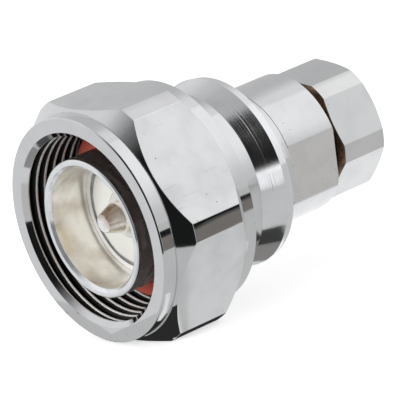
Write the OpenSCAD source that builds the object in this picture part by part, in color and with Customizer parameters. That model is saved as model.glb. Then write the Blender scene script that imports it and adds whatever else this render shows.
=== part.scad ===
// Large coaxial plug connector for a 10 mm cable: screw coupling in front, cable clamp behind.
// The connector's axis is Y. The front face of the coupling nut lies at y = 0 and faces -Y.
// Every turned piece is drawn as a half section of [radius, y] points and revolved about the axis.

/* [Coupling nut] */
// Wall between the thread's root and the middle of a flat
nut_wall = 2.44; // [2:0.02:3.4]
// Radial height turned off the hexagon's corners
corner_cut = 0.755; // [0.5:0.005:1.2]
// Overall length
nut_len = 16.95; // [16:0.05:18.5]
// Step from the flats down to the round collar at each end
collar_inset = 0.45; // [0.35:0.05:0.8]
// Length of each round collar
collar_len = 2.2; // [1.6:0.1:3]
// Shoulder between a collar and its corner chamfer
collar_step = 0.15; // [0.05:0.05:0.25]
// Angle between the corner chamfers and the axis
corner_angle = 47; // [40:1:60]
// Edge break of the turned edges
edge = 0.18; // [0.1:0.02:0.25]

/* [Coupling thread] */
// Nominal diameter of the internal thread
thread_d = 29; // [28.6:0.1:29.4]
// Pitch of the internal thread
thread_pitch = 1.5; // [1:0.25:1.5]
// Width of the lead-in chamfer at the mouth
mouth_chamfer = 0.71; // [0.4:0.01:1]

/* [Outer contact] */
// Depth of the tube's rim behind the nut's front face
rim_depth = 0.65; // [0.4:0.05:1.5]
// Bore of the tube
tube_bore_d = 16.6; // [16:0.1:17.4]
// Wall of the tube
tube_wall = 1.9; // [1.5:0.1:2.2]
// Step from the tube down to the shank that is pressed into the body
shank_step = 0.2; // [0.1:0.05:0.4]
// Chamfer at the rim's inner edge
rim_chamfer = 0.7; // [0.4:0.1:1]
// Height of the ledge that holds the front insulator back
ledge_h = 0.3; // [0.2:0.05:0.6]
// Thickness of that ledge
ledge_len = 0.4; // [0.3:0.1:0.8]

/* [Centre pin] */
// Diameter of the pin
pin_d = 4.5; // [4.2:0.1:5]
// Diameter of the flat on the pin's nose
pin_nose_d = 2.7; // [2:0.1:3.4]
// Depth of the nose behind the nut's front face
pin_depth = 3; // [2.4:0.1:3.6]
// Length of the tapered nose
pin_nose_len = 2.4; // [2:0.1:2.8]
// Diameter of the shoulder behind the pin
shoulder_d = 7; // [6.4:0.1:7.6]
// Thickness of the shoulder in front of the insulator
shoulder_len = 0.5; // [0.3:0.1:0.7]
// Step from the pin's shank down to the solder cup at the rear
cup_step = 0.3; // [0.2:0.05:0.5]
// Bore of the solder cup
cup_bore_d = 2.4; // [2:0.1:2.8]
// Length of the solder cup behind the rear insulator
cup_len = 5; // [4:0.5:6]
// Depth of the solder cup's bore
cup_bore_len = 4; // [3:0.5:4]
// Diameter of the solder hole in the cup's side
solder_hole_d = 1; // [0.8:0.1:1.2]

/* [Insulators] */
// Depth of the front insulator's face behind the nut's front face
insulator_depth = 7.5; // [7:0.1:7.9]
// Height of the front insulator's rim behind the ledge, beyond the tube's bore
front_bead_h = 0.5; // [0.3:0.05:0.8]
// Diameter of the rear insulator
rear_bead_d = 15.2; // [14.4:0.1:15.6]
// Length of the rear insulator
rear_bead_len = 8; // [6:0.5:8]

/* [Front gasket] */
// Thickness of the gasket
gasket_len = 1.7; // [1.2:0.1:2.2]
// Radial width of the gasket
gasket_w = 3; // [2.4:0.1:3.6]

/* [Body] */
// Depth of the body's front face behind the nut's front face
body_front = 10.4; // [10.2:0.1:11]
// Depth of the tube's seat inside the body
tube_seat_len = 3.6; // [3:0.1:4]
// Radial room that the journal leaves under the thread's crests
journal_room = 0.488; // [0.3:0.002:0.8]
// Bare journal between the coupling nut and the ring
journal_gap = 4.14; // [3.5:0.02:5]
// Rise of the conical ring above the journal
ring_rise = 0.9; // [0.6:0.05:1.3]
// Length of the ring's cone
ring_cone_len = 3.87; // [3.2:0.01:4.6]
// Length of the ring's rear band
ring_band_len = 1.31; // [0.8:0.01:2]
// Fall in diameter along the rear band
ring_band_fall = 0.44; // [0.1:0.02:0.8]
// Width of the fine line turned round the middle of the cone
ring_line_w = 0.14; // [0.1:0.02:0.3]
// Chamfered step from the rear section down to the neck
neck_step = 0.15; // [0.1:0.05:0.4]
// Length of the neck with its fillet
neck_len = 3.45; // [3.2:0.05:4.5]
// Fillet between ring and neck
neck_fillet = 3; // [2:0.1:3.2]
// Diameter of the rear section
rear_d = 20.8; // [20.4:0.1:21.4]
// Length of the rear section
rear_len = 8.8; // [8:0.1:10]
// Depth of the two wrench flats in the rear section
flat_depth = 0.9; // [0.5:0.05:1.2]
// Turn of the wrench flats about the axis
body_turn = 7.2; // [0:0.1:30]
// Bore of the window between contact and clamp chambers
window_d = 9.2; // [8.8:0.1:10]

/* [Retaining ring] */
// Width of the spring ring along the axis
spring_w = 1; // [0.8:0.05:1.2]
// Radial height of the spring ring
spring_h = 1; // [0.8:0.05:1.2]
// Gap between the spring ring's ends
spring_split = 2; // [1:0.5:4]

/* [Cable clamp] */
// Distance across the clamp nut's flats
clamp_af = 18.2; // [17.8:0.1:19]
// Radial height turned off the clamp nut's corners
clamp_corner_cut = 0.7; // [0.4:0.02:0.9]
// Length of the clamp nut's hexagon
clamp_hex_len = 8.7; // [8:0.1:10]
// Step from the clamp nut's flats down to the edge of its end faces
clamp_face_inset = 0.45; // [0.3:0.05:0.8]
// Angle between the clamp nut's corner chamfers and the axis
clamp_corner_angle = 60; // [45:1:70]
// Turn of the clamp nut about the axis
clamp_turn = 9.9; // [0:0.1:60]
// Gap between the body and the clamp nut's hexagon
clamp_gap = 1.05; // [0.4:0.05:1.6]
// Wall between the cable bore and the root of the clamp nut's thread
spigot_wall = 2; // [1.6:0.1:2.2]
// Length of the clamp nut's threaded spigot
spigot_len = 5.55; // [5:0.05:6]
// Width of the thread relief behind the spigot
relief_w = 0.9; // [0.6:0.1:1.2]
// Bore for the cable
cable_bore_d = 10.8; // [10.4:0.1:11.4]
// Chamfer at the rear mouth of that bore
cable_chamfer = 0.36; // [0.2:0.02:0.5]
// Thickness of the thrust washer
washer_len = 0.8; // [0.6:0.1:1]
// Length of the cable gasket
seal_len = 3.9; // [3.4:0.1:4]
// Length of the braid clamp up to the cable gasket
braid_len = 3.6; // [3:0.1:4.5]
// Bore of the braid clamp
braid_bore_d = 8.8; // [8.2:0.1:9.4]
// Depth of the cable gasket's V groove
ridge_len = 1; // [0.6:0.1:1.2]

/* [Fits] */
// Radial running clearance of the two nuts
run_gap = 0.06; // [0.03:0.01:0.1]
// Radial gap of pieces that are pressed or pushed together
fit_gap = 0.02; // [0.01:0.01:0.04]
// End clearance of loose pieces
end_gap = 0.2; // [0.1:0.05:0.3]

/* [Hidden] */
// Facets of a full turn
facets = 128;
// Overrun of cutting shapes past the surfaces they cut
over = 1;
// Half angle of a metric thread
flank_angle = 30;

// Radii of the coupling nut and of its thread
thread_h = thread_pitch / 2 / tan(flank_angle);
crest_r = thread_d / 2 - thread_h * 5 / 8;
root_r = thread_d / 2 + run_gap;
mouth_r = crest_r + mouth_chamfer;
nut_flat_r = root_r + nut_wall;
collar_r = nut_flat_r - collar_inset;
corner_r = nut_flat_r / cos(30) - corner_cut;
corner_len = (corner_r - collar_r - collar_step) / tan(corner_angle);
journal_r = crest_r - journal_room;
nut_bore_r = journal_r + run_gap;

// Stations along the axis, from front to rear
lip_y = mouth_r - crest_r + thread_pitch / 8;
thread_y = lip_y + (root_r - crest_r) * tan(flank_angle);
gasket_y = body_front - gasket_len;
step_y = body_front + 2 * end_gap;
tube_seat_y = body_front + tube_seat_len;
rear_bead_y = tube_seat_y + rear_bead_len;
ring_y = nut_len + journal_gap;
ring_top_y = ring_y + ring_cone_len;
ring_rear_y = ring_top_y + ring_band_len;
rear_y = ring_rear_y + edge + neck_len;
body_end_y = rear_y + rear_len;
clamp_y = body_end_y + clamp_gap;
clamp_end_y = clamp_y + clamp_hex_len;
spigot_y = clamp_y - spigot_len;
washer_y = spigot_y - end_gap - washer_len;
seal_y = washer_y - end_gap - seal_len;
window_y = seal_y - braid_len;

// Spring ring grooves; the ring rests against the front wall of the body's groove
spring_y = (step_y + root_r - nut_bore_r + nut_len - spring_w) / 2;
groove_y = spring_y - end_gap / 2;
groove_end_y = spring_y + spring_w + end_gap / 2;
nut_groove_r = journal_r + spring_h / 2 + end_gap;

// Radii of the body, the pin and the clamp chamber
ring_r = journal_r + ring_rise;
band_r = ring_r - ring_band_fall / 2;
rear_r = rear_d / 2;
neck_r = rear_r - neck_step;
fillet_r = min(neck_fillet, band_r - edge - neck_r);
tube_bore_r = tube_bore_d / 2;
tube_r = tube_bore_r + tube_wall;
shank_r = tube_r - shank_step;
gasket_r = shank_r + fit_gap + gasket_w;
front_bead_r = tube_bore_r + front_bead_h;
rear_bead_r = rear_bead_d / 2;
window_r = window_d / 2;
pin_r = pin_d / 2;
cup_r = pin_r - cup_step;
shoulder_r = shoulder_d / 2;
clamp_flat_r = clamp_af / 2;
clamp_face_r = clamp_flat_r - clamp_face_inset;
clamp_corner_r = clamp_flat_r / cos(30) - clamp_corner_cut;
cable_bore_r = cable_bore_d / 2;
spigot_r = cable_bore_r + spigot_wall;
chamber_r = spigot_r + run_gap;
loose_r = chamber_r - end_gap;
seal_bore_r = cable_bore_r - end_gap;
ridge_r = (seal_bore_r + loose_r) / 2;
ridge_half_w = (loose_r - seal_bore_r) / 2 - end_gap;

// Revolves a half section of [radius, y] points about the connector's axis
module turned(points) {
    rotate([-90, 0, 0]) rotate_extrude($fn = facets) polygon(points);
}

// Plain tube from y = front to y = back
module tube(bore_r, outer_r, front, back) {
    turned([[bore_r, front], [outer_r, front], [outer_r, back], [bore_r, back]]);
}

// Hexagonal bar along the axis, with its corners at 0, 60, 120 ... degrees plus the turn
module hex_bar(flat_r, turn, front, back) {
    rotate([-90, 0, 0])
        rotate([0, 0, turn])
            translate([0, 0, front])
                cylinder(r = flat_r / cos(30), h = back - front, $fn = 6);
}

// Hexagon nut: bar with chamfered, turned-off corners, round collars and a threaded mouth
module coupling_nut() {
    color("#c9cccd") difference() {
        intersection() {
            hex_bar(nut_flat_r, 0, -over, nut_len + over);
            turned([
                [0, 0],
                [collar_r - edge, 0],
                [collar_r, edge],
                [collar_r, collar_len],
                [collar_r + collar_step, collar_len],
                [corner_r, collar_len + corner_len],
                [corner_r, nut_len - collar_len - corner_len],
                [collar_r + collar_step, nut_len - collar_len],
                [collar_r, nut_len - collar_len],
                [collar_r, nut_len - edge],
                [collar_r - edge, nut_len],
                [0, nut_len]
            ]);
        }
        turned([
            [0, -over],
            [mouth_r, -over],
            [mouth_r, 0],
            [crest_r, mouth_r - crest_r],
            [crest_r, lip_y],
            [root_r, thread_y],
            [root_r, step_y],
            [nut_bore_r, step_y + root_r - nut_bore_r],
            [nut_bore_r, groove_y],
            [nut_groove_r, groove_y],
            [nut_groove_r, groove_end_y],
            [nut_bore_r, groove_end_y],
            [nut_bore_r, nut_len - edge],
            [nut_bore_r + edge, nut_len],
            [nut_bore_r + edge, nut_len + over],
            [0, nut_len + over]
        ]);
    }
}

// Split spring ring that lies half in the body's groove and half in the nut's
module retaining_ring() {
    color("#8e9092") difference() {
        tube(journal_r - spring_h / 2, journal_r + spring_h / 2, spring_y, spring_y + spring_w);
        translate([-spring_split / 2, spring_y - over, 0])
            cube([spring_split, spring_w + 2 * over, journal_r + spring_h]);
    }
}

// Soft ring in the groove between the tube's shoulder and the body's front face
module interface_gasket() {
    color("#b5392e") turned([
        [shank_r + fit_gap, gasket_y],
        [gasket_r - edge, gasket_y],
        [gasket_r, gasket_y + edge],
        [gasket_r, body_front],
        [shank_r + fit_gap, body_front]
    ]);
}

// Contact tube: open in front, with a ledge inside for the front insulator and a pressed shank
module outer_contact() {
    color("#d6d0c2") turned([
        [tube_bore_r + rim_chamfer, rim_depth],
        [tube_r - edge, rim_depth],
        [tube_r, rim_depth + edge],
        [tube_r, gasket_y],
        [shank_r, gasket_y],
        [shank_r, tube_seat_y],
        [front_bead_r + fit_gap, tube_seat_y],
        [front_bead_r + fit_gap, insulator_depth],
        [tube_bore_r - ledge_h, insulator_depth],
        [tube_bore_r - ledge_h, insulator_depth - ledge_len],
        [tube_bore_r, insulator_depth - ledge_len],
        [tube_bore_r, rim_depth + rim_chamfer]
    ]);
}

// Centre contact: tapered nose, pin, shoulder, shank through both insulators and solder cup
module centre_pin() {
    cup_end_y = rear_bead_y + cup_len;
    shoulder_y = insulator_depth - shoulder_len;
    color("#cdbf9d") difference() {
        turned([
            [0, pin_depth],
            [pin_nose_d / 2, pin_depth],
            [pin_r, pin_depth + pin_nose_len],
            [pin_r, shoulder_y],
            [shoulder_r, shoulder_y],
            [shoulder_r, insulator_depth],
            [pin_r, insulator_depth],
            [pin_r, rear_bead_y],
            [cup_r, rear_bead_y],
            [cup_r, cup_end_y],
            [cup_bore_d / 2, cup_end_y],
            [cup_bore_d / 2, cup_end_y - cup_bore_len],
            [0, cup_end_y - cup_bore_len]
        ]);
        translate([0, cup_end_y - cup_len / 2, 0])
            cylinder(d = solder_hole_d, h = 2 * cup_r, $fn = 32);
    }
}

// Front bead, trapped between the tube's ledge and the body's seat
module front_insulator() {
    color("#e6e5dc") tube(pin_r + fit_gap, front_bead_r, insulator_depth, tube_seat_y);
}

// Rear bead, trapped between the front bead and the wall of the window
module rear_insulator() {
    color("#e6e5dc") tube(pin_r + fit_gap, rear_bead_r, tube_seat_y, rear_bead_y);
}

// Turned shell: journal, conical ring, filleted neck and rear section
module body() {
    line_y = (ring_y + ring_top_y) / 2;
    line_r = (journal_r + ring_r) / 2;
    line_rise = ring_line_w / 2 * (ring_r - journal_r) / ring_cone_len;
    color("#c6cacb") difference() {
        rotate([-90, 0, 0]) rotate_extrude($fn = facets) {
            polygon([
                [shank_r + fit_gap, body_front],
                [journal_r - edge, body_front],
                [journal_r, body_front + edge],
                [journal_r, spring_y],
                [journal_r - spring_h, spring_y],
                [journal_r - spring_h, groove_end_y],
                [journal_r, groove_end_y],
                [journal_r, ring_y],
                [line_r - line_rise, line_y - ring_line_w / 2],
                [line_r - ring_line_w / 2, line_y],
                [line_r + line_rise, line_y + ring_line_w / 2],
                [ring_r, ring_top_y],
                [band_r, ring_rear_y],
                [band_r - edge, ring_rear_y + edge],
                [neck_r, ring_rear_y + edge],
                [neck_r, rear_y],
                [rear_r, rear_y + neck_step],
                [rear_r, body_end_y - edge],
                [rear_r - edge, body_end_y],
                [chamber_r, body_end_y],
                [chamber_r, window_y],
                [window_r, window_y],
                [window_r, rear_bead_y],
                [rear_bead_r + fit_gap, rear_bead_y],
                [rear_bead_r + fit_gap, tube_seat_y],
                [shank_r + fit_gap, tube_seat_y]
            ]);
            translate([neck_r, ring_rear_y + edge]) difference() {
                square(fillet_r);
                translate([fillet_r, fillet_r]) circle(r = fillet_r, $fn = facets);
            }
        }
        for (side = [0, 180])
            rotate([0, body_turn + side, 0])
                translate([rear_r - flat_depth, rear_y, -rear_r])
                    cube([rear_r, rear_len + over, rear_d]);
    }
}

// Braid clamp: sleeve with a tapered nose and a V-shaped edge that bites into the cable gasket
module braid_clamp() {
    color("#c9b983") turned([
        [braid_bore_d / 2, window_y],
        [window_r + end_gap, window_y],
        [loose_r, window_y + braid_len / 2],
        [loose_r, seal_y],
        [ridge_r + ridge_half_w - end_gap, seal_y],
        [ridge_r, seal_y + ridge_len - end_gap],
        [ridge_r - ridge_half_w + end_gap, seal_y],
        [braid_bore_d / 2, seal_y]
    ]);
}

// Rubber ring with a V groove that takes the braid clamp's edge
module cable_gasket() {
    color("#2b2b2b") turned([
        [seal_bore_r, seal_y],
        [ridge_r - ridge_half_w, seal_y],
        [ridge_r, seal_y + ridge_len],
        [ridge_r + ridge_half_w, seal_y],
        [loose_r, seal_y],
        [loose_r, seal_y + seal_len],
        [seal_bore_r, seal_y + seal_len]
    ]);
}

// Plain washer that keeps the turning clamp nut from dragging the gasket round
module thrust_washer() {
    color("#c9b983") tube(cable_bore_r + end_gap, loose_r, washer_y, washer_y + washer_len);
}

// Gland nut: threaded spigot in the body, chamfered hexagon behind it and a bore for the cable
module clamp_nut() {
    corner_h = (clamp_corner_r - clamp_face_r) / tan(clamp_corner_angle);
    color("#c6cacb") difference() {
        union() {
            turned([
                [0, spigot_y],
                [spigot_r - edge, spigot_y],
                [spigot_r, spigot_y + edge],
                [spigot_r, clamp_y - relief_w],
                [spigot_r - edge, clamp_y - relief_w],
                [spigot_r - edge, clamp_y + over],
                [0, clamp_y + over]
            ]);
            intersection() {
                hex_bar(clamp_flat_r, clamp_turn, clamp_y - over, clamp_end_y + over);
                turned([
                    [0, clamp_y],
                    [clamp_face_r, clamp_y],
                    [clamp_corner_r, clamp_y + corner_h],
                    [clamp_corner_r, clamp_end_y - corner_h],
                    [clamp_face_r, clamp_end_y],
                    [0, clamp_end_y]
                ]);
            }
        }
        turned([
            [0, spigot_y - over],
            [cable_bore_r, spigot_y - over],
            [cable_bore_r, clamp_end_y - cable_chamfer],
            [cable_bore_r + cable_chamfer, clamp_end_y],
            [cable_bore_r + cable_chamfer, clamp_end_y + over],
            [0, clamp_end_y + over]
        ]);
    }
}

coupling_nut();
retaining_ring();
interface_gasket();
outer_contact();
centre_pin();
front_insulator();
rear_insulator();
body();
braid_clamp();
cable_gasket();
thrust_washer();
clamp_nut();
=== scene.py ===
import math

import bmesh
import bpy
from mathutils import Matrix, Vector


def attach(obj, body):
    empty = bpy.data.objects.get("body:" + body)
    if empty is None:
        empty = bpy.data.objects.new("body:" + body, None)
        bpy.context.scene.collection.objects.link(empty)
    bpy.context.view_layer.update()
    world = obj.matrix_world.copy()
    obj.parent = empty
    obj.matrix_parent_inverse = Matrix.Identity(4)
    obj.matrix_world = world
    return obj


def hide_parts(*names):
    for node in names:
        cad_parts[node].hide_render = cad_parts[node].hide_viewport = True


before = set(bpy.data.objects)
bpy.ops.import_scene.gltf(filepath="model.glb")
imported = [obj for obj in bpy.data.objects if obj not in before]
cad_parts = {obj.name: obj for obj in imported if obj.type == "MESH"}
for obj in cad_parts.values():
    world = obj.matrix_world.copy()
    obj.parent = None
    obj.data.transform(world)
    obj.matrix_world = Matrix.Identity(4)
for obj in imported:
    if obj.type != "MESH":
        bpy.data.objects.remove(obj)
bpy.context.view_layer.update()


# The body is one turned brass piece: a journal for the nut, a conical ring with a fine line,
# a neck with a large fillet and a rear barrel with two milled wrench flats. It is plated white.
# Each corner of a turned outline has a radius, a place along the axis and a rounding, in millimetres.
MM = 0.001


def soften(corners, arc=3):
    points = []
    for i, (r, y, rounding) in enumerate(corners):
        here = Vector((r, y))
        if rounding == 0:
            points.append((r, y))
            continue
        before = Vector(corners[i - 1][:2]) - here
        after = Vector(corners[(i + 1) % len(corners)][:2]) - here
        half = before.angle(after) / 2
        room = 0.45 * min(before.length, after.length)
        reach = min(max(rounding / math.tan(half), 0.004), room)
        start = here + before.normalized() * reach
        end = here + after.normalized() * reach
        turn = math.pi - 2 * half
        if turn < 0.01:
            points += [tuple(start.lerp(end, k / arc)) for k in range(arc + 1)]
            continue
        middle = (before.normalized() + after.normalized()).normalized()
        centre = here + middle * reach / math.cos(half)
        a = start - centre
        b = end - centre
        for k in range(arc + 1):
            t = k / arc
            bow = (a * math.sin((1 - t) * turn) + b * math.sin(t * turn)) / math.sin(turn)
            points.append(tuple(centre + bow))
    return points


def firm(name, data):
    lean = [Vector() for _ in data.vertices]
    for face in data.polygons:
        face.use_smooth = True
        for corner in face.vertices:
            lean[corner] += face.normal * (face.area * 1e6)
    data.normals_split_custom_set_from_vertices([n.normalized() for n in lean])
    piece = bpy.data.objects.new(name, data)
    bpy.context.scene.collection.objects.link(piece)
    return piece


def skin(name, angles, columns):
    rows = len(columns[0])
    solid = columns[0][0][0] < 1e-6
    mesh = bmesh.new()
    poles = {}
    grid = []
    for angle, column in zip(angles, columns):
        c = math.cos(math.radians(angle)) * MM
        s = math.sin(math.radians(angle)) * MM
        line = []
        for k, (r, y) in enumerate(column):
            if r < 1e-6:
                if k not in poles:
                    poles[k] = mesh.verts.new((0, y * MM, 0))
                line.append(poles[k])
            else:
                line.append(mesh.verts.new((r * c, y * MM, r * s)))
        grid.append(line)
    for i, line in enumerate(grid):
        beside = grid[(i + 1) % len(grid)]
        for k in range(rows - 1 if solid else rows):
            n = (k + 1) % rows
            ring = [line[k], line[n], beside[n], beside[k]]
            corners = [v for j, v in enumerate(ring) if v is not ring[j - 1]]
            mesh.faces.new(corners)
    bmesh.ops.recalc_face_normals(mesh, faces=mesh.faces)
    data = bpy.data.meshes.new(name)
    mesh.to_mesh(data)
    mesh.free()
    return firm(name, data)


def add(tree, kind, x, y, **values):
    node = tree.nodes.new(kind)
    node.location = (x, y)
    for key, value in values.items():
        setattr(node, key, value)
    return node


# The second colour gives random stains. In the painted-shade and painted-reflection paints it is part of
# what is painted.
def metal(name, colour, stain_and_painted_shade, gloss, marks, scuffs, patch=0.21, metallic=1.0):
    paint = bpy.data.materials.new(name)
    paint.use_nodes = True
    tree = paint.node_tree
    link = tree.links.new
    shader = tree.nodes["Principled BSDF"]
    shader.inputs["Metallic"].default_value = metallic
    place = add(tree, "ShaderNodeTexCoord", -1400, 0)
    mm = add(tree, "ShaderNodeVectorMath", -1220, 0, operation="SCALE")
    mm.inputs["Scale"].default_value = 1000.0
    link(place.outputs["Object"], mm.inputs[0])
    split = add(tree, "ShaderNodeSeparateXYZ", -1040, 220)
    link(mm.outputs[0], split.inputs[0])
    tool = add(tree, "ShaderNodeTexNoise", -860, 300, noise_dimensions="1D")
    tool.inputs["Scale"].default_value = 3.1
    tool.inputs["Detail"].default_value = 5.0
    tool.inputs["Roughness"].default_value = 0.7
    link(split.outputs["Y"], tool.inputs["W"])
    cloud = add(tree, "ShaderNodeTexNoise", -860, 60)
    cloud.inputs["Scale"].default_value = patch
    cloud.inputs["Detail"].default_value = 4.0
    link(mm.outputs[0], cloud.inputs["Vector"])
    lay = add(tree, "ShaderNodeMapping", -1040, -200)
    lay.inputs["Rotation"].default_value = (0.35, 0.6, 0.2)
    lay.inputs["Scale"].default_value = (2.2, 0.09, 2.2)
    link(mm.outputs[0], lay.inputs["Vector"])
    hair = add(tree, "ShaderNodeTexNoise", -860, -200)
    hair.inputs["Scale"].default_value = 1.0
    hair.inputs["Detail"].default_value = 2.0
    link(lay.outputs[0], hair.inputs["Vector"])
    thin = add(tree, "ShaderNodeValToRGB", -680, -200)
    thin.color_ramp.elements[0].position = 0.70
    thin.color_ramp.elements[1].position = 0.73
    link(hair.outputs["Fac"], thin.inputs["Fac"])
    cells = add(tree, "ShaderNodeTexVoronoi", -860, -480)
    cells.inputs["Scale"].default_value = 0.55
    link(mm.outputs[0], cells.inputs["Vector"])
    pits = add(tree, "ShaderNodeValToRGB", -680, -480)
    pits.color_ramp.elements[0].position = 0.045
    pits.color_ramp.elements[0].color = (1, 1, 1, 1)
    pits.color_ramp.elements[1].position = 0.075
    pits.color_ramp.elements[1].color = (0, 0, 0, 1)
    link(cells.outputs["Distance"], pits.inputs["Fac"])
    tone = add(tree, "ShaderNodeMix", -420, 180, data_type="RGBA")
    tone.inputs["A"].default_value = (*colour, 1)
    tone.inputs["B"].default_value = (*stain_and_painted_shade, 1)
    spread = add(tree, "ShaderNodeMapRange", -600, 140)
    spread.inputs["From Min"].default_value = 0.42
    spread.inputs["From Max"].default_value = 0.72
    link(cloud.outputs["Fac"], spread.inputs["Value"])
    link(spread.outputs[0], tone.inputs["Factor"])
    dots = add(tree, "ShaderNodeMix", -240, 120, data_type="RGBA")
    dots.inputs["B"].default_value = tuple(0.45 * c for c in stain_and_painted_shade) + (1,)
    link(tone.outputs["Result"], dots.inputs["A"])
    fine = add(tree, "ShaderNodeMath", -480, -420, operation="MULTIPLY")
    fine.inputs[1].default_value = scuffs
    link(pits.outputs["Color"], fine.inputs[0])
    link(fine.outputs[0], dots.inputs["Factor"])
    link(dots.outputs["Result"], shader.inputs["Base Color"])
    polish = add(tree, "ShaderNodeMapRange", -420, -80)
    polish.inputs["From Min"].default_value = 0.3
    polish.inputs["From Max"].default_value = 0.75
    polish.inputs["To Min"].default_value = gloss * 0.75
    polish.inputs["To Max"].default_value = gloss * 1.35
    link(cloud.outputs["Fac"], polish.inputs["Value"])
    rub = add(tree, "ShaderNodeMath", -240, -120, operation="MULTIPLY_ADD")
    rub.inputs[1].default_value = 0.12 * scuffs
    link(thin.outputs["Color"], rub.inputs[0])
    link(polish.outputs[0], rub.inputs[2])
    link(rub.outputs[0], shader.inputs["Roughness"])
    ridges = add(tree, "ShaderNodeBump", -420, -300)
    ridges.inputs["Strength"].default_value = marks
    ridges.inputs["Distance"].default_value = 0.00002
    link(tool.outputs["Fac"], ridges.inputs["Height"])
    cuts = add(tree, "ShaderNodeBump", -240, -300, invert=True)
    cuts.inputs["Strength"].default_value = 0.22 * scuffs
    cuts.inputs["Distance"].default_value = 0.00001
    link(thin.outputs["Color"], cuts.inputs["Height"])
    link(ridges.outputs[0], cuts.inputs["Normal"])
    link(cuts.outputs[0], shader.inputs["Normal"])
    return paint


plating_turned = metal(
    "plating_turned", (0.71, 0.72, 0.72), (0.66, 0.66, 0.67),
    gloss=0.10, marks=0.16, scuffs=0.5,
)
plating_ring = metal(
    "plating_ring", (0.80, 0.81, 0.82), (0.75, 0.75, 0.77),
    gloss=0.12, marks=0.28, scuffs=0.3,
)
plating_milled = metal(
    "plating_milled", (0.74, 0.73, 0.715), (0.67, 0.66, 0.64),
    gloss=0.24, marks=0.12, scuffs=0.5,
)
body_front = 10.4
body_rear = 38.7
journal = 13.2
ring_start = 21.0
ring_edge = 14.1
ring_end = 26.4
neck = 10.33
neck_fillet = 3.0
neck_start = 29.45
barrel = 10.4
barrel_start = 29.95
barrel_flat = 9.5
barrel_turn = -7.2


def body_column(angle):
    off = (angle - barrel_turn + 90) % 180 - 90
    cut = barrel_flat / math.cos(math.radians(off)) if abs(off) < 60 else math.inf
    step = min(neck, cut)
    full = min(barrel, cut)
    fillet = []
    for k in range(13):
        a = math.radians(90 * k / 12)
        r = neck + neck_fillet * (1 - math.sin(a))
        fillet.append((r, neck_start - neck_fillet * math.cos(a), 0))
    return soften([
        (10.02, body_front, 0),
        (13.02, body_front, 0.05),
        (journal, 10.58, 0.05),
        (journal, 14.025, 0.05),
        (12.2, 14.025, 0.05),
        (12.2, 15.125, 0.05),
        (journal, 15.125, 0.05),
        (journal, 21.09, 0.3),
        (13.634, 22.955, 0.06),
        (13.646, 23.025, 0.06),
        (13.666, 23.095, 0.06),
        (ring_edge, 24.96, 0.07),
        (13.88, 26.27, 0.08),
        (13.7, 26.45, 0.08),
    ] + fillet + [
        (neck, 29.86, 0.01),
        (step, 29.9, 0.01),
        (full, 29.92, 0.02),
        (full, 38.52, 0.06),
        (min(10.22, cut), body_rear, 0.06),
        (7.64, body_rear, 0.04),
        (7.46, 38.5, 0.04),
        (7.46, 25.5, 0.05),
        (4.6, 25.5, 0.05),
        (4.6, 22.0, 0.05),
        (7.62, 22.0, 0.05),
        (7.62, 14.0, 0.05),
        (10.02, 14.0, 0.05),
    ])


body_angles = [1.5 * i for i in range(240)]
for side in (barrel_turn, barrel_turn + 180):
    for off in (-24.25, -23.75, -22.3, -21.8, 21.8, 22.3, 23.75, 24.25):
        body_angles.append((side + off) % 360)
body_angles = sorted(set(round(a, 3) for a in body_angles))
body = skin("body_shell", body_angles, [body_column(a) for a in body_angles])
for paint in (plating_turned, plating_ring, plating_milled):
    body.data.materials.append(paint)
a = math.radians(barrel_turn)
milled = Vector((math.cos(a), 0, math.sin(a)))
for face in body.data.polygons:
    outward = face.normal.dot(face.center) > 0
    square = abs(face.normal.dot(milled)) > 0.9999
    on_flat = square and abs(face.center.dot(milled)) > (barrel_flat - 0.1) * MM
    if ring_start * MM < face.center.y < ring_end * MM and outward:
        face.material_index = 1
    elif face.center.y > barrel_start * MM and on_flat:
        face.material_index = 2
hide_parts("body")
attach(body, "shell")


# The outer contact is a thin brass tube with a rounded rim, silver plated inside and out.
# A ledge and a narrower step at the bottom of its bore hold the front bead, and its shank is
# pressed into the body. The bore has gone warm and cloudy. The ledge is painted near white and matt
# as a painted highlight, the step's wall grey as painted shade in the gap round the bead, and the
# outer wall dark brown as painted shade of the narrow gap inside the nut's mouth.
def turned(name, corners, steps=192):
    column = soften(corners)
    return skin(name, [360 * i / steps for i in range(steps)], [column] * steps)


silver_rim = metal(
    "silver_rim", (0.80, 0.82, 0.83), (0.71, 0.73, 0.75),
    gloss=0.12, marks=0.1, scuffs=0.2, patch=0.4, metallic=0.8,
)
silver_lead = metal(
    "silver_lead", (0.92, 0.93, 0.95), (0.66, 0.69, 0.75),
    gloss=0.13, marks=1.0, scuffs=0.2, patch=0.5, metallic=0.75,
)
# Painted highlight: the ledge is painted near white and matt, so it shows as a bright line.
ledge_painted_highlight = metal(
    "ledge_painted_highlight", (0.98, 0.98, 0.97), (0.93, 0.92, 0.90),
    gloss=0.3, marks=0.05, scuffs=0.2, metallic=0.05,
)
silver_bore = metal(
    "silver_bore", (0.98, 0.955, 0.90), (0.60, 0.53, 0.45),
    gloss=0.2, marks=0.25, scuffs=0.3, patch=0.22, metallic=0.8,
)
# Painted shade: the step's wall in the gap round the bead is painted grey.
step_painted_shade = metal(
    "step_painted_shade", (0.74, 0.75, 0.77), (0.36, 0.35, 0.36),
    gloss=0.2, marks=0.1, scuffs=0.2, patch=0.33,
)
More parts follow.
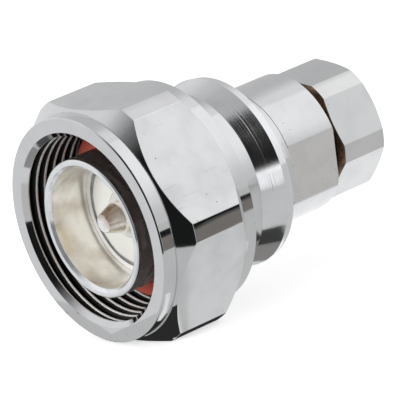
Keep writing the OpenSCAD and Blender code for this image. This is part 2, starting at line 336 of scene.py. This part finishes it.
# Painted shade: the outer wall in the gap inside the nut's mouth is painted dark brown.
wall_painted_shade = metal(
    "wall_painted_shade", (0.42, 0.38, 0.37), (0.27, 0.23, 0.22),
    gloss=0.26, marks=0.15, scuffs=0.1,
)
rim_y = 0.65
lead_end = 1.12
tube_wall = 10.2
tube_bore = 8.95
ledge_y = 7.5
step_bore = 8.2
step_end = 8.3
shank = 10.0
shank_start = 8.7
shank_end = 14.0
tube = turned("contact_tube", [
    (9.42, rim_y, 0.3),
    (10.02, rim_y, 0.12),
    (tube_wall, 0.83, 0.12),
    (tube_wall, shank_start, 0.05),
    (shank, shank_start, 0.05),
    (shank, shank_end, 0.05),
    (8.82, shank_end, 0.05),
    (8.82, step_end, 0.02),
    (step_bore, step_end, 0.02),
    (step_bore, ledge_y, 0.05),
    (tube_bore, ledge_y, 0.06),
    (tube_bore, lead_end, 0.15),
], steps=240)
for paint in (silver_rim, silver_bore, wall_painted_shade, silver_lead, ledge_painted_highlight, step_painted_shade):
    tube.data.materials.append(paint)
for face in tube.data.polygons:
    out = math.hypot(face.center.x, face.center.z) / MM
    y = face.center.y / MM
    if y > rim_y + 0.25 and out > tube_wall - 0.1:
        face.material_index = 2
    elif ledge_y + 0.02 < y < step_end - 0.02 and out < step_bore + 0.02:
        face.material_index = 5
    elif ledge_y - 0.1 < y < ledge_y + 0.04 and out < tube_bore - 0.02:
        face.material_index = 4
    elif y > lead_end + 0.02 and out < tube_bore + 0.02:
        face.material_index = 1
    elif y > rim_y + 0.04 and out < 9.5:
        face.material_index = 3
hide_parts("outer_contact")
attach(tube, "shell")


# The centre pin is turned brass: a tapered nose, a short straight part and a flat, wider shoulder
# that seats on the bead, with a solder cup behind. It is silver plated. The straight part at the root of
# the shoulder is painted yellow as a painted reflection of the warm bore. The plating's brown patches
# differ at random, and their scale is set so that one lies on the pin's top as a painted reflection of the
# darker bore.
# Partly painted reflection: the noise scale puts a brown patch on the pin's top.
pin_plating = metal(
    "pin_plating", (0.97, 0.97, 0.96), (0.46, 0.33, 0.23),
    gloss=0.06, marks=0.10, scuffs=0.3, patch=0.36,
)
# Painted reflection: the root of the shoulder is painted yellow.
pin_root_painted_reflection = metal(
    "pin_root_painted_reflection", (0.82, 0.68, 0.36), (0.70, 0.52, 0.22),
    gloss=0.22, marks=0.2, scuffs=0.3,
)
pin_seat = metal(
    "pin_seat", (0.80, 0.79, 0.78), (0.72, 0.70, 0.68),
    gloss=0.4, marks=0.1, scuffs=0.2, metallic=0.15,
)
pin_tip = 3.0
pin_root = 6.0
shoulder = 3.5
shoulder_y = 7.0
seat_y = 7.5
shaft = 2.25
cup = 1.95
cup_start = 22.0
cup_end = 27.0
cup_bore = 1.2
pin = turned("pin_turned", [
    (0, pin_tip, 0),
    (1.35, pin_tip, 0.12),
    (shaft, 5.4, 0.8),
    (shaft, pin_root, 0),
    (shaft, shoulder_y, 0.15),
    (shoulder, shoulder_y, 0.12),
    (shoulder, seat_y, 0.02),
    (shaft, seat_y, 0.02),
    (shaft, cup_start, 0.05),
    (cup, cup_start, 0.05),
    (cup, cup_end, 0.08),
    (cup_bore, cup_end, 0.08),
    (cup_bore, 23.0, 0.05),
    (0, 23.0, 0),
], steps=128)
for paint in (pin_plating, pin_root_painted_reflection, pin_seat):
    pin.data.materials.append(paint)
for face in pin.data.polygons:
    out = math.hypot(face.center.x, face.center.z) / MM
    y = face.center.y / MM
    if shoulder_y - 0.1 < y < seat_y and shaft + 0.05 < out < shoulder - 0.1:
        face.material_index = 2
    elif pin_root < y < seat_y and out < shaft + 0.05:
        face.material_index = 1
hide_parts("centre_pin")
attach(pin, "shell")


# The two beads are turned from waxy white fluoroplastic rod. The front one stands with its nose
# inside the tube's step and its flange behind it, and shows its faced end round the pin,
# with the faint rings of the facing tool.
bead_white = bpy.data.materials.new("bead_white")
bead_white.use_nodes = True
tree = bead_white.node_tree
link = tree.links.new
shader = tree.nodes["Principled BSDF"]
shader.inputs["Roughness"].default_value = 0.42
place = add(tree, "ShaderNodeTexCoord", -1000, 0)
mm = add(tree, "ShaderNodeVectorMath", -840, 0, operation="MULTIPLY")
mm.inputs[1].default_value = (1000.0, 0.0, 1000.0)
link(place.outputs["Object"], mm.inputs[0])
out = add(tree, "ShaderNodeVectorMath", -680, 0, operation="LENGTH")
link(mm.outputs[0], out.inputs[0])
rings = add(tree, "ShaderNodeTexNoise", -520, -160, noise_dimensions="1D")
rings.inputs["Scale"].default_value = 4.0
rings.inputs["Detail"].default_value = 3.0
link(out.outputs["Value"], rings.inputs["W"])
cloud = add(tree, "ShaderNodeTexNoise", -520, 120)
cloud.inputs["Scale"].default_value = 420.0
cloud.inputs["Detail"].default_value = 5.0
link(place.outputs["Object"], cloud.inputs["Vector"])
tone = add(tree, "ShaderNodeMix", -320, 120, data_type="RGBA")
tone.inputs["A"].default_value = (0.86, 0.86, 0.82, 1)
tone.inputs["B"].default_value = (0.80, 0.80, 0.755, 1)
link(cloud.outputs["Fac"], tone.inputs["Factor"])
link(tone.outputs["Result"], shader.inputs["Base Color"])
ridges = add(tree, "ShaderNodeBump", -320, -160)
ridges.inputs["Strength"].default_value = 0.25
ridges.inputs["Distance"].default_value = 0.00003
link(rings.outputs["Fac"], ridges.inputs["Height"])
link(ridges.outputs[0], shader.inputs["Normal"])
pin_hole = 2.27
nose = 7.55
flange = 8.8
bead = turned("front_bead", [
    (pin_hole, seat_y, 0.06),
    (nose, seat_y, 0.08),
    (nose, step_end, 0.05),
    (flange, step_end, 0.06),
    (flange, shank_end, 0.06),
    (pin_hole, shank_end, 0.06),
], steps=160)
bead.data.materials.append(bead_white)
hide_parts("front_insulator")
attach(bead, "shell")
rear_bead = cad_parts["rear_insulator"]
rear_bead.data.materials.clear()
rear_bead.data.materials.append(bead_white)


# The face gasket is a flat ring cut from red silicone. It lies at the bottom of the nut's mouth,
# between the tube's shoulder and the body's front face.
def rubber(name, light, dark, roughness, grain_scale, bump, depth):
    paint = bpy.data.materials.new(name)
    paint.use_nodes = True
    tree = paint.node_tree
    link = tree.links.new
    shader = tree.nodes["Principled BSDF"]
    shader.inputs["Roughness"].default_value = roughness
    place = add(tree, "ShaderNodeTexCoord", -800, 0)
    grain = add(tree, "ShaderNodeTexNoise", -600, 0)
    grain.inputs["Scale"].default_value = grain_scale
    grain.inputs["Detail"].default_value = 6.0
    link(place.outputs["Object"], grain.inputs["Vector"])
    tone = add(tree, "ShaderNodeMix", -320, 120, data_type="RGBA")
    tone.inputs["A"].default_value = (*light, 1)
    tone.inputs["B"].default_value = (*dark, 1)
    link(grain.outputs["Fac"], tone.inputs["Factor"])
    link(tone.outputs["Result"], shader.inputs["Base Color"])
    ridges = add(tree, "ShaderNodeBump", -320, -160)
    ridges.inputs["Strength"].default_value = bump
    ridges.inputs["Distance"].default_value = depth
    link(grain.outputs["Fac"], ridges.inputs["Height"])
    link(ridges.outputs[0], shader.inputs["Normal"])
    return paint


red_silicone = rubber(
    "red_silicone", (0.80, 0.16, 0.115), (0.66, 0.13, 0.09),
    roughness=0.5, grain_scale=1900.0, bump=0.3, depth=0.00003,
)
gasket_hole = 10.02
gasket_edge = 13.02
gasket = turned("face_gasket", [
    (gasket_hole, shank_start, 0.1),
    (12.84, shank_start, 0.1),
    (gasket_edge, 8.88, 0.1),
    (gasket_edge, body_front, 0.02),
    (gasket_hole, body_front, 0.02),
], steps=160)
gasket.data.materials.append(red_silicone)
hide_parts("interface_gasket")
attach(gasket, "shell")


# The coupling nut is turned from hexagon brass bar: round collars at both ends, turned-off corners
# and a polished lead-in at the mouth. Its flats keep the satin drawn skin of the bar,
# with a few long scratches and specks, under the same white plating.
plating_bright = metal(
    "plating_bright", (0.71, 0.72, 0.725), (0.68, 0.68, 0.69),
    gloss=0.065, marks=0.025, scuffs=0.3,
)
plating_flat = metal(
    "plating_flat", (0.70, 0.71, 0.71), (0.64, 0.645, 0.65),
    gloss=0.22, marks=0.05, scuffs=1.0,
)
# Painted highlight: the thread's crests and the mouth's lip are painted near white and matt.
crest_painted_highlight = metal(
    "crest_painted_highlight", (0.93, 0.94, 0.93), (0.78, 0.73, 0.66),
    gloss=0.35, marks=0.1, scuffs=0.2, metallic=0.15,
)
# Painted shade: the thread's flanks and roots, the bore behind them and the clamp nut's face in its gap
# are painted near black.
black_painted_shade = metal(
    "black_painted_shade", (0.045, 0.043, 0.042), (0.03, 0.028, 0.027),
    gloss=0.45, marks=0.1, scuffs=0.2, metallic=0.2,
)
black_painted_shade.node_tree.nodes["Principled BSDF"].inputs["Specular IOR Level"].default_value = 0.15
nut_flat = 16.9995
nut_corner = 18.8745
nut_slope = math.tan(math.radians(47))
nut_rear = 16.95
collar = 16.55
hexagon_foot = 16.7
hexagon_front = 2.2
hexagon_rear = 14.75
nut_bore = 13.26
ring_groove = 13.9
thread_root = 14.56
mouth_lip = 13.688
lip_front = 0.71
lip_rear = 0.898
thread_zone = 13.0


def hexagon(angle, flat, corner):
    off = (angle + 30) % 60 - 30
    reach = flat / math.cos(math.radians(30 - abs(off)))
    soft = 0.03
    gap = max(soft - abs(reach - corner), 0) / soft
    return min(reach, corner) - gap * gap * soft / 4


def nut_column(angle):
    out = hexagon(angle, nut_flat, nut_corner)
    rise = (out - hexagon_foot) / nut_slope
    return soften([
        (14.398, 0, 0.05),
        (16.37, 0, 0.07),
        (collar, 0.18, 0.07),
        (collar, hexagon_front, 0.03),
        (hexagon_foot, hexagon_front, 0.04),
        (out, hexagon_front + rise, 0.09),
        (out, hexagon_rear - rise, 0.09),
        (hexagon_foot, hexagon_rear, 0.04),
        (collar, hexagon_rear, 0.03),
        (collar, 16.77, 0.07),
        (16.37, nut_rear, 0.07),
        (13.44, nut_rear, 0.05),
        (nut_bore, 16.77, 0.05),
        (nut_bore, 15.125, 0.03),
        (ring_groove, 15.125, 0.03),
        (ring_groove, 13.925, 0.03),
        (nut_bore, 13.925, 0.03),
        (nut_bore, 12.1, 0.05),
        (thread_root, 10.8, 0.05),
        (thread_root, 1.4, 0.05),
        (mouth_lip, lip_rear, 0.04),
        (mouth_lip, lip_front, 0.04),
    ])


def hexagon_angles(offsets, turn):
    angles = []
    for k in range(6):
        for off in offsets:
            angles.append(60 * k + off + turn)
            angles.append(60 * k + 60 - off + turn)
        angles.append(60 * k + 30 + turn)
    return sorted(set(round(a % 360, 3) for a in angles))


def on_hexagon_flat(face, turn):
    for k in range(6):
        a = math.radians(60 * k + 30 + turn)
        square = face.normal.dot(Vector((math.cos(a), 0, math.sin(a)))) > 0.9999
        if square and face.area > 2e-7:
            return True
    return False


nut_angles = hexagon_angles((
    0, 1, 2, 3, 3.7, 4.0, 4.15, 4.25, 4.35, 4.5, 4.9, 6, 8, 10, 12, 14, 16, 18, 20, 22, 24, 26, 28,
), 0)
nut = skin("nut_hexagon", nut_angles, [nut_column(a) for a in nut_angles])
for paint in (plating_bright, plating_flat, black_painted_shade, crest_painted_highlight):
    nut.data.materials.append(paint)
# The thread's roots and the bore behind the lip are painted near black as painted shade, and the lip near
# white as a painted highlight.
for face in nut.data.polygons:
    out = math.hypot(face.center.x, face.center.z) / MM
    y = face.center.y / MM
    if out < thread_root + 0.14 and lip_front + 0.01 < y < thread_zone:
        face.material_index = 2 if y > lip_rear + 0.002 else 3
    if on_hexagon_flat(face, 0):
        face.material_index = 1
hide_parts("coupling_nut")
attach(nut, "coupling")


# The nut's internal thread is M29 x 1.5, cut as one right-handed ridge with narrow crests.
# It starts behind the lip at the mouth, runs in and out over a third of a turn and ends
# just behind the gasket's face. Its crests are painted near white as painted highlights,
# and its flanks near black as painted shade.
def thread(name, crest, root, half_flat, pitch, first, turns, per_turn):
    mesh = bmesh.new()
    lean = abs(root - crest) * math.tan(math.radians(30))
    stations = []
    count = int(turns * per_turn)
    for i in range(count + 1):
        a = 2 * math.pi * i / per_turn
        grow = min(1, 3 * i / per_turn, 3 * (count - i) / per_turn)
        top = root + (crest - root) * (0.04 + 0.96 * grow)
        y = first + pitch * i / per_turn
        shape = [
            (root, -half_flat - lean),
            (top + (root - top) * 0.16, -half_flat * 1.2),
            (top + (root - top) * 0.05, -half_flat * 0.85),
            (top, -half_flat * 0.3),
            (top, half_flat * 0.3),
            (top + (root - top) * 0.05, half_flat * 0.85),
            (top + (root - top) * 0.16, half_flat * 1.2),
            (root, half_flat + lean),
        ]
        stations.append([
            mesh.verts.new((r * math.cos(a) * MM, (y + dy) * MM, -r * math.sin(a) * MM))
            for r, dy in shape
        ])
    for here, there in zip(stations, stations[1:]):
        for k in range(len(here)):
            n = (k + 1) % len(here)
            side = mesh.faces.new([here[k], here[n], there[n], there[k]])
            side.material_index = 0 if 0 < k < 4 else 1
    mesh.faces.new(stations[0])
    mesh.faces.new(list(reversed(stations[-1])))
    bmesh.ops.recalc_face_normals(mesh, faces=mesh.faces)
    data = bpy.data.meshes.new(name)
    mesh.to_mesh(data)
    mesh.free()
    return firm(name, data)


nut_thread = thread(
    "nut_thread", crest=13.69, root=14.62, half_flat=0.19,
    pitch=1.5, first=1.6, turns=5.75, per_turn=144,
)
nut_thread.data.materials.append(crest_painted_highlight)
nut_thread.data.materials.append(black_painted_shade)
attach(nut_thread, "coupling")


# Four pieces are hidden inside: a split spring steel ring that keeps the coupling nut on the body,
# and in the cable clamp a turned brass sleeve for the braid, a moulded black rubber ring
# and a plain brass washer.
spring_steel = metal(
    "spring_steel", (0.50, 0.50, 0.51), (0.42, 0.42, 0.43),
    gloss=0.3, marks=0.1, scuffs=0.5,
)
plain_brass = metal(
    "plain_brass", (0.78, 0.62, 0.34), (0.62, 0.44, 0.22),
    gloss=0.25, marks=0.3, scuffs=0.6,
)
black_rubber = rubber(
    "black_rubber", (0.035, 0.035, 0.035), (0.07, 0.068, 0.065),
    roughness=0.6, grain_scale=1500.0, bump=0.4, depth=0.00004,
)
for inner, paint in (
    ("retaining_ring", spring_steel),
    ("braid_clamp", plain_brass),
    ("cable_gasket", black_rubber),
    ("thrust_washer", plain_brass),
):
    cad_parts[inner].data.materials.clear()
    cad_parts[inner].data.materials.append(paint)


# The clamp nut is a smaller hexagon of plated brass with turned-off corners, bored for the cable.
# Its threaded spigot screws into the body and leaves a narrow gap at the face. The front chamfer is
# painted brown with darker patches, and the flat front face in the gap is painted near black as painted
# shade.
plating_clamp = metal(
    "plating_clamp", (0.71, 0.715, 0.71), (0.655, 0.655, 0.65),
    gloss=0.13, marks=0.12, scuffs=0.4,
)
clamp_skin = metal(
    "clamp_skin", (0.69, 0.70, 0.70), (0.64, 0.65, 0.65),
    gloss=0.22, marks=0.05, scuffs=0.5,
)
clamp_chamfer_brown = metal(
    "clamp_chamfer_brown", (0.38, 0.26, 0.18), (0.06, 0.045, 0.035),
    gloss=0.3, marks=0.2, scuffs=0.3, patch=0.5,
)
clamp_flat = 9.1
clamp_corner = 9.808
clamp_front = math.tan(math.radians(69))
clamp_rear = math.tan(math.radians(60))
clamp_turn = -9.9
clamp_face = 39.75
clamp_end = 48.45
clamp_foot = 8.65
cable_bore = 5.4
spigot = 6.92
spigot_end = 34.2


def clamp_column(angle):
    out = hexagon(angle - clamp_turn, clamp_flat, clamp_corner)
    return soften([
        (cable_bore, spigot_end, 0.05),
        (6.72, spigot_end, 0.05),
        (spigot, 34.4, 0.05),
        (spigot, 38.4, 0.05),
        (spigot, clamp_face, 0.05),
        (clamp_foot, clamp_face, 0.04),
        (out, clamp_face + (out - clamp_foot) / clamp_front, 0.07),
        (out, clamp_end - (out - clamp_foot) / clamp_rear, 0.07),
        (clamp_foot, clamp_end, 0.04),
        (5.76, clamp_end, 0.05),
        (cable_bore, 48.09, 0.05),
    ])


clamp_angles = hexagon_angles(
    (0, 2, 4, 6, 7.4, 7.8, 7.95, 8.1, 8.25, 8.6, 10, 12, 15, 18, 21, 24, 27), clamp_turn,
)
clamp = skin("clamp_hexagon", clamp_angles, [clamp_column(a) for a in clamp_angles])
for paint in (plating_clamp, clamp_skin, clamp_chamfer_brown, black_painted_shade):
    clamp.data.materials.append(paint)
# The flat front face in the gap is painted near black as painted shade.
for face in clamp.data.polygons:
    y = face.center.y / MM
    if clamp_face - 0.85 < y < clamp_face + 0.65 and face.normal.y < -0.3:
        face.material_index = 3 if face.normal.y < -0.99 else 2
    if on_hexagon_flat(face, clamp_turn):
        face.material_index = 1
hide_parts("clamp_nut")
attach(clamp, "clamp")
clamp_thread = thread(
    "clamp_thread", crest=7.38, root=6.86, half_flat=0.12,
    pitch=1.0, first=34.85, turns=4.0, per_turn=120,
)
clamp_thread.data.materials.append(plating_turned)
clamp_thread.data.materials.append(plating_turned)
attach(clamp_thread, "clamp")


# The floor is a plain white sheet. The connector rests on it with the lowest flat of the coupling nut,
# and its soft shadow falls there.
floor_z = -17.05
sheet_data = bpy.data.meshes.new("floor")
floor_reach = 3
sheet = [(x * floor_reach, y * floor_reach, floor_z * MM) for x, y in ((-1, -1), (1, -1), (1, 1), (-1, 1))]
sheet_data.from_pydata(sheet, [], [(0, 1, 2, 3)])
floor = bpy.data.objects.new("floor", sheet_data)
bpy.context.scene.collection.objects.link(floor)
floor_white = bpy.data.materials.new("floor_white")
floor_white.use_nodes = True
tree = floor_white.node_tree
link = tree.links.new
tree.nodes.clear()
matt = add(tree, "ShaderNodeBsdfDiffuse", -300, 100)
matt.inputs["Color"].default_value = (0.82, 0.82, 0.82, 1)
glow = add(tree, "ShaderNodeEmission", -300, -100)
seen = add(tree, "ShaderNodeLightPath", -700, -100)
lift = add(tree, "ShaderNodeMath", -500, -100, operation="MULTIPLY")
lift.inputs[1].default_value = 0.62
link(seen.outputs["Is Camera Ray"], lift.inputs[0])
link(lift.outputs[0], glow.inputs["Strength"])
both = add(tree, "ShaderNodeAddShader", -100, 0)
link(matt.outputs[0], both.inputs[0])
link(glow.outputs[0], both.inputs[1])
mirrored = add(tree, "ShaderNodeEmission", -100, -200)
mirrored.inputs["Strength"].default_value = 0.62
pick = add(tree, "ShaderNodeMixShader", 100, 0)
link(seen.outputs["Is Glossy Ray"], pick.inputs["Fac"])
link(both.outputs[0], pick.inputs[1])
link(mirrored.outputs[0], pick.inputs[2])
end = add(tree, "ShaderNodeOutputMaterial", 300, 0)
link(pick.outputs[0], end.inputs["Surface"])
floor.data.materials.append(floor_white)


# The studio is a white tent that is open towards the camera, so the plating mirrors a dark opening,
# a grey wall on the left and dark and brown bands on the table. The tent and the cards on and above the
# table glow and are seen in reflections only. They are painted reflections: the shade and dusk cards are
# painted shadow of the connector on the table, and the glow cards are painted bright patches.
def card(name, points, shade, faces=None):
    data = bpy.data.meshes.new(name)
    data.from_pydata(points, [], faces or [tuple(range(len(points)))])
    piece = bpy.data.objects.new(name, data)
    bpy.context.scene.collection.objects.link(piece)
    paint = bpy.data.materials.new(name)
    paint.use_nodes = True
    tree = paint.node_tree
    tree.nodes.clear()
    glow = add(tree, "ShaderNodeEmission", -200, 0)
    glow.inputs["Color"].default_value = (*shade, 1)
    end = add(tree, "ShaderNodeOutputMaterial", 0, 0)
    tree.links.new(glow.outputs[0], end.inputs["Surface"])
    data.materials.append(paint)
    piece.visible_camera = False
    piece.visible_diffuse = False
    piece.visible_shadow = False
    piece.visible_transmission = False
    return piece


def fade(value, start, width):
    t = min(max((value - start) / width, 0), 1)
    return t * t * (3 - 2 * t)


# Painted levels of the tent's glow by direction: brighter walls behind, a grey wall on the left, a grey
# roof and a dark opening.
def tent_light(az, el):
    right_wall = 0.70 + 0.38 * fade(el, 0, 36) + 0.2 * fade(az, 130, 14) * (1 - fade(el, 14, 20))
    left_wall = 0.86 - 0.26 * fade(-az, 117, 10) + 0.32 * fade(-az, 140, 28)
    wall = right_wall if az > 0 else left_wall
    foot = fade(az, 78, 10) * (1 - fade(az, 112, 8)) * (1 - fade(el, 2, 5))
    wall += 0.45 * foot
    roof = 0.50
    wall += (roof - wall) * fade(el, 54, 16)
    opening = fade(az, -45, 62) * (1 - fade(az, 40, 14)) * (1 - fade(el, 54, 14))
    post = fade(az, 78, 8) * (1 - fade(az, 110 + 0.8 * max(el - 45, 0), 10))
    post *= (1 - fade(el, 61, 17)) * fade(el, 1, 6)
    gap = max(opening, post)
    dark = 0.012
    return wall * (1 - gap) + dark * gap


tent_radius = 0.45
tent_rows = 32
tent_columns = 90
tent_spots = []
for j in range(tent_rows + 1):
    for i in range(tent_columns + 1):
        tent_spots.append((-180 + 360 * i / tent_columns, -4 + 94 * j / tent_rows))
tent_points = []
for az, el in tent_spots:
    level_reach = tent_radius * math.cos(math.radians(el))
    tent_points.append((
        level_reach * math.sin(math.radians(az)),
        -level_reach * math.cos(math.radians(az)),
        tent_radius * math.sin(math.radians(el)),
    ))
tent_faces = []
for j in range(tent_rows):
    for i in range(tent_columns):
        a = (tent_columns + 1) * j + i
        b = a + tent_columns + 1
        tent_faces.append((a, a + 1, b + 1, b))
tent = card("tent", tent_points, (1, 1, 1), tent_faces)
shades = tent.data.color_attributes.new("shade", "FLOAT_COLOR", "POINT")
for spot, (az, el) in zip(shades.data, tent_spots):
    level = tent_light(az, el)
    spot.color = (level, level, level * 1.01, 1)
tree = tent.data.materials[0].node_tree
shade = add(tree, "ShaderNodeAttribute", -400, 0, attribute_name="shade")
tree.links.new(shade.outputs["Color"], tree.nodes["Emission"].inputs["Color"])
brown = (0.215, 0.200, 0.185)
# Cards on the table, seen in reflections only: painted shadow of the connector (the shade and dusk cards),
# painted bright patches (the glow cards) and painted dark and brown bands.
table = {
    "front_black_band": (
        (0.012, 0.013, 0.013),
        (35, -26), (21, -52), (14, -60), (90, -520), (520, -440), (420, -320), (48, -16),
    ),
    "brown_band": (
        brown,
        (50, 34.4), (56, 36.4), (64, 37.6), (72, 38.8), (76, 47), (81, 54), (81, 62), (79, 66.5),
        (72, 61.7), (66, 57.2), (58, 51), (50, 45), (48.6, 40),
    ),
    "dark_band": (
        (0.10, 0.094, 0.088),
        (72, 38.8), (76.5, 40.5), (82, 50), (90, 58), (90, 74.5), (79, 66.5), (81, 62), (81, 54), (76, 47),
    ),
    "black_band": (
        (0.008, 0.008, 0.008),
        (76.5, 40.5), (88, 45.5), (104, 54), (133, 75), (128, 99), (103, 84), (90, 74.5),
        (90, 58), (82, 50),
    ),
    "right_glow": ((1.17, 1.17, 1.19), (64, 27), (420, 50), (410, 108), (64.5, 34.4)),
    "nut_shade": (
        (0.03, 0.03, 0.03),
        (-26, 0.3), (9, 0.3), (12.5, -1), (14.5, -1), (14.3, 2.8), (10.6, 4.2), (8.6, 3.95),
        (8.4, 4.4), (10.2, 5.9), (10.2, 14), (-20, 14),
    ),
    "flat_glow": (
        (0.80, 0.80, 0.81),
        (10.4, 6.4), (17, 10.2), (24, 15), (26, 24), (22.5, 25), (16.7, 21.5), (10.4, 15.5),
    ),
    "left_glow": (
        (0.78, 0.78, 0.79),
        (-20.5, -9.5), (-45, -12), (-300, -60), (-300, -300), (-102, -400), (-31, -54),
        (-14, -40), (-4, -17), (-4, -3), (-12, -6), (-9, -12.5), (-11, -16), (-15.5, -14.2),
    ),
    "mouth_shade": (
        (0.32, 0.32, 0.32),
        (-19.5, -8.8), (-15.2, -13.8), (-11, -15.5), (-9.6, -13.2), (-13, -9.4), (-17, -7.1),
    ),
    "collar_glow": (
        (0.95, 0.95, 0.96),
        (8.7, 4.0), (16.5, 6.6), (16.5, 7.5), (12.6, 6.1), (10.2, 5.4), (8.7, 4.5),
    ),
    "left_shade": (
        (0.09, 0.09, 0.09),
        (-42, 12), (-40, 6), (-24, -6), (-19, -7), (-20, -1), (-27, 4), (-36, 13),
    ),
    "ring_shade": ((0.05, 0.05, 0.05), (9.6, 23.6), (16, 23.6), (17, 28), (10.4, 28.4)),
    "ring_dusk": ((0.26, 0.25, 0.24), (2, 24.4), (9.6, 23.6), (10.4, 28.4), (2, 28.8)),
    "band_glow": ((1.05, 1.05, 1.06), (0, 29.5), (8, 29.5), (8.5, 33.4), (0, 33.4)),
    "barrel_glow": ((1.05, 1.05, 1.06), (-10, 36.8), (8.9, 37.4), (8.9, 64), (-10, 64)),
}
table_z = floor_z + 0.05
for name, (shade, *corners) in table.items():
    card(name, [(x * MM, y * MM, table_z * MM) for x, y in corners], shade)
# A brown card 9.2 mm below the axis paints more of the brown band into the reflections.
raised_band_z = -9.2
raised_brown_band = [
    (29.8, 9), (36, 12.5), (44, 18), (49.3, 22.5), (49.3, 27.2), (44.5, 26.6), (40, 25.8), (36, 24.8),
    (33.8, 23.5), (33, 17.5), (29.8, 13.5),
]
card("raised_brown_band", [(x * MM, y * MM, raised_band_z * MM) for x, y in raised_brown_band], brown)


# The surroundings are plain white where they are seen or mirrored.
# On everything else they give a plain, even level of light.
world = bpy.data.worlds.new("studio")
bpy.context.scene.world = world
world.use_nodes = True
tree = world.node_tree
link = tree.links.new
tree.nodes.clear()
seen = add(tree, "ShaderNodeLightPath", -800, 0)
first = add(tree, "ShaderNodeMath", -600, 0, operation="MAXIMUM")
link(seen.outputs["Is Camera Ray"], first.inputs[0])
link(seen.outputs["Is Glossy Ray"], first.inputs[1])
second = add(tree, "ShaderNodeMath", -420, 0, operation="MAXIMUM")
link(first.outputs[0], second.inputs[0])
link(seen.outputs["Is Transmission Ray"], second.inputs[1])
plain = add(tree, "ShaderNodeBackground", -240, 100)
plain.inputs["Color"].default_value = (1, 1, 1, 1)
plain.inputs["Strength"].default_value = 0.60
white = add(tree, "ShaderNodeBackground", -240, -100)
white.inputs["Color"].default_value = (1, 1, 1, 1)
white.inputs["Strength"].default_value = 1.0
blend = add(tree, "ShaderNodeMixShader", -60, 0)
link(second.outputs[0], blend.inputs["Fac"])
link(plain.outputs[0], blend.inputs[1])
link(white.outputs[0], blend.inputs[2])
end = add(tree, "ShaderNodeOutputWorld", 120, 0)
link(blend.outputs[0], end.inputs["Surface"])


# One soft square lamp stands in front of the connector's mouth and a little above it.
# It has no highlight of its own in the plating.
lamp_data = bpy.data.lights.new("soft_lamp", "AREA")
lamp_data.shape = "SQUARE"
lamp_data.size = 0.35
lamp_data.energy = 2.6
lamp = bpy.data.objects.new("soft_lamp", lamp_data)
bpy.context.scene.collection.objects.link(lamp)
lamp.location = (-0.08, -0.62, 0.2)
lamp.rotation_euler = (Vector((0, 0.005, 0)) - lamp.location).to_track_quat("-Z", "Y").to_euler()
lamp.visible_glossy = False
lamp.visible_camera = False


# The camera looks at the mouth of the nut from the front right and a little above.
# It has a long lens and is rolled to the left.
camera_place = Vector((0.4251, -0.2958, 0.1477))
right = Vector((0.6295, 0.7496, -0.2040)).normalized()
back = Vector((0.7721, -0.5740, 0.2728))
back = (back - right * back.dot(right)).normalized()
up = back.cross(right)
lens = bpy.data.cameras.new("camera")
lens.lens = 348.9
lens.sensor_width = 36.0
lens.clip_start = 0.01
lens.clip_end = 20.0
camera = bpy.data.objects.new("camera", lens)
bpy.context.scene.collection.objects.link(camera)
camera.matrix_world = Matrix((
    (right.x, up.x, back.x, camera_place.x),
    (right.y, up.y, back.y, camera_place.y),
    (right.z, up.z, back.z, camera_place.z),
    (0, 0, 0, 1),
))
bpy.context.scene.camera = camera
bpy.context.scene.view_settings.view_transform = "Standard"
